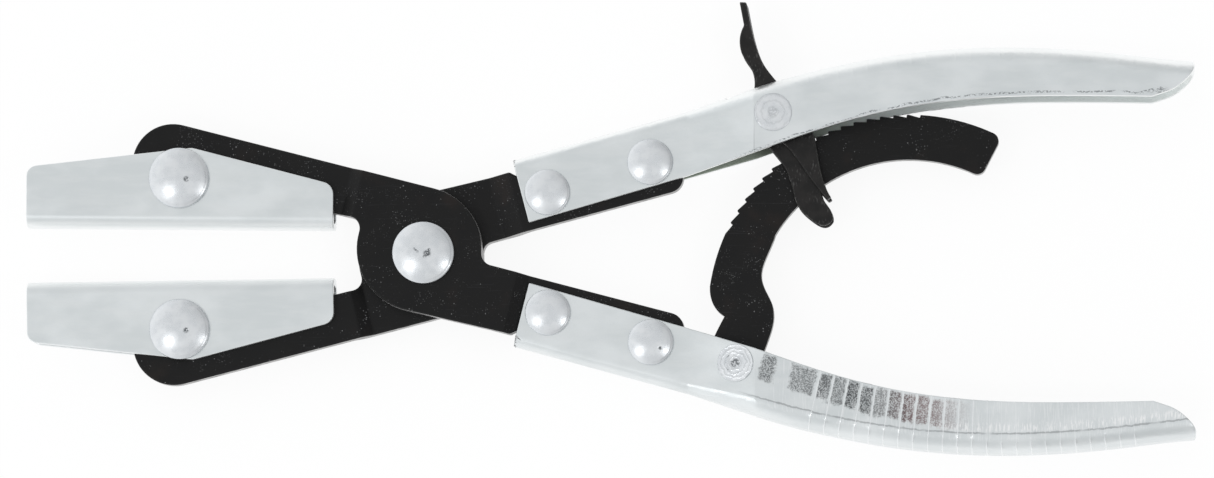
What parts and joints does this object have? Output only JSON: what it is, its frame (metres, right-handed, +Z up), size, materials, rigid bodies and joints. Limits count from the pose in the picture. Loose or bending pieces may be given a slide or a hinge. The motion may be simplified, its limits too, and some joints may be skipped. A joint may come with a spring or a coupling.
{
  "type": "hose pinch-off pliers",
  "caption": "Self-locking hose pinch-off pliers: swivelling channel jaws, joggled arms, channel handles, toothed ratchet arc and a sprung release lever.",
  "frame": {"origin": "on the main pivot's axis, half way through the thickness of the tool", "axes": "+X from the pivot to the handle ends, +Y to the handle that carries the release lever, +Z up along the pivot axis with the tool lying flat"},
  "size_m": [0.292, 0.113, 0.0172],
  "materials": {
    "black_steel": "satin black, fine specks, edges slightly worn",
    "lever_steel": "black oxide with a brown cast, rough and worn on the cheeks",
    "zinc_sheet": "bright zinc plate, satin, faint rolling marks",
    "rivet_zinc": "bright zinc plate, polished domes",
    "spacer_steel": "turned steel",
    "spring_steel": "drawn spring wire"
  },
  "bodies": {
    "front_half": {"front_arm": "black_steel", "pivot_rivet": "rivet_zinc", "upper_jaw_rivet": "rivet_zinc", "lower_handle": "zinc_sheet", "lower_handle_front_rivet": "rivet_zinc", "lower_handle_rear_rivet": "rivet_zinc", "arc_rivet": "rivet_zinc", "arc_spacers": "spacer_steel"},
    "rear_half": {"rear_arm": "black_steel", "lower_jaw_rivet": "rivet_zinc", "upper_handle": "zinc_sheet", "upper_handle_front_rivet": "rivet_zinc", "upper_handle_rear_rivet": "rivet_zinc", "lever_rivet": "rivet_zinc", "lever_spacers": "spacer_steel"},
    "upper_jaw": {"upper_jaw": "zinc_sheet"},
    "lower_jaw": {"lower_jaw": "zinc_sheet"},
    "ratchet_arc": {"ratchet_arc": "black_steel"},
    "release_lever": {"release_lever": "lever_steel", "ratchet_pawl": "lever_steel", "lever_spring": "spring_steel"}
  },
  "joints": [
    {"name": "main_pivot", "type": "hinge", "parent": "front_half", "child": "rear_half", "pos_m": [0, 0, 0], "axis": [0, 0, 1], "range_deg": [-11.6, 6.3]},
    {"name": "upper_jaw_swivel", "type": "hinge", "parent": "front_half", "child": "upper_jaw", "pos_m": [-0.0609, 0.0189, 0], "axis": [0, 0, 1], "range_deg": [-5.2, 2.82]},
    {"name": "lower_jaw_swivel", "type": "hinge", "parent": "rear_half", "child": "lower_jaw", "pos_m": [-0.0609, -0.0189, 0], "axis": [0, 0, 1], "range_deg": [-2.82, 5.2]},
    {"name": "arc_pivot", "type": "hinge", "parent": "front_half", "child": "ratchet_arc", "pos_m": [0.078, -0.02805, 0], "axis": [0, 0, 1], "range_deg": [-27, 14.7]},
    {"name": "lever_pivot", "type": "hinge", "parent": "rear_half", "child": "release_lever", "pos_m": [0.0877, 0.0343, 0], "axis": [0, 0, 1], "range_deg": [0, 12], "stiffness_Nm_per_rad": 0.05, "springref_deg": -17.19}
  ],
  "couplings": [
    {"joint": "upper_jaw_swivel", "follows": "main_pivot", "ratio": 0.444},
    {"joint": "lower_jaw_swivel", "follows": "main_pivot", "ratio": -0.444},
    {"joint": "arc_pivot", "follows": "main_pivot", "ratio": 2.32}
  ]
}
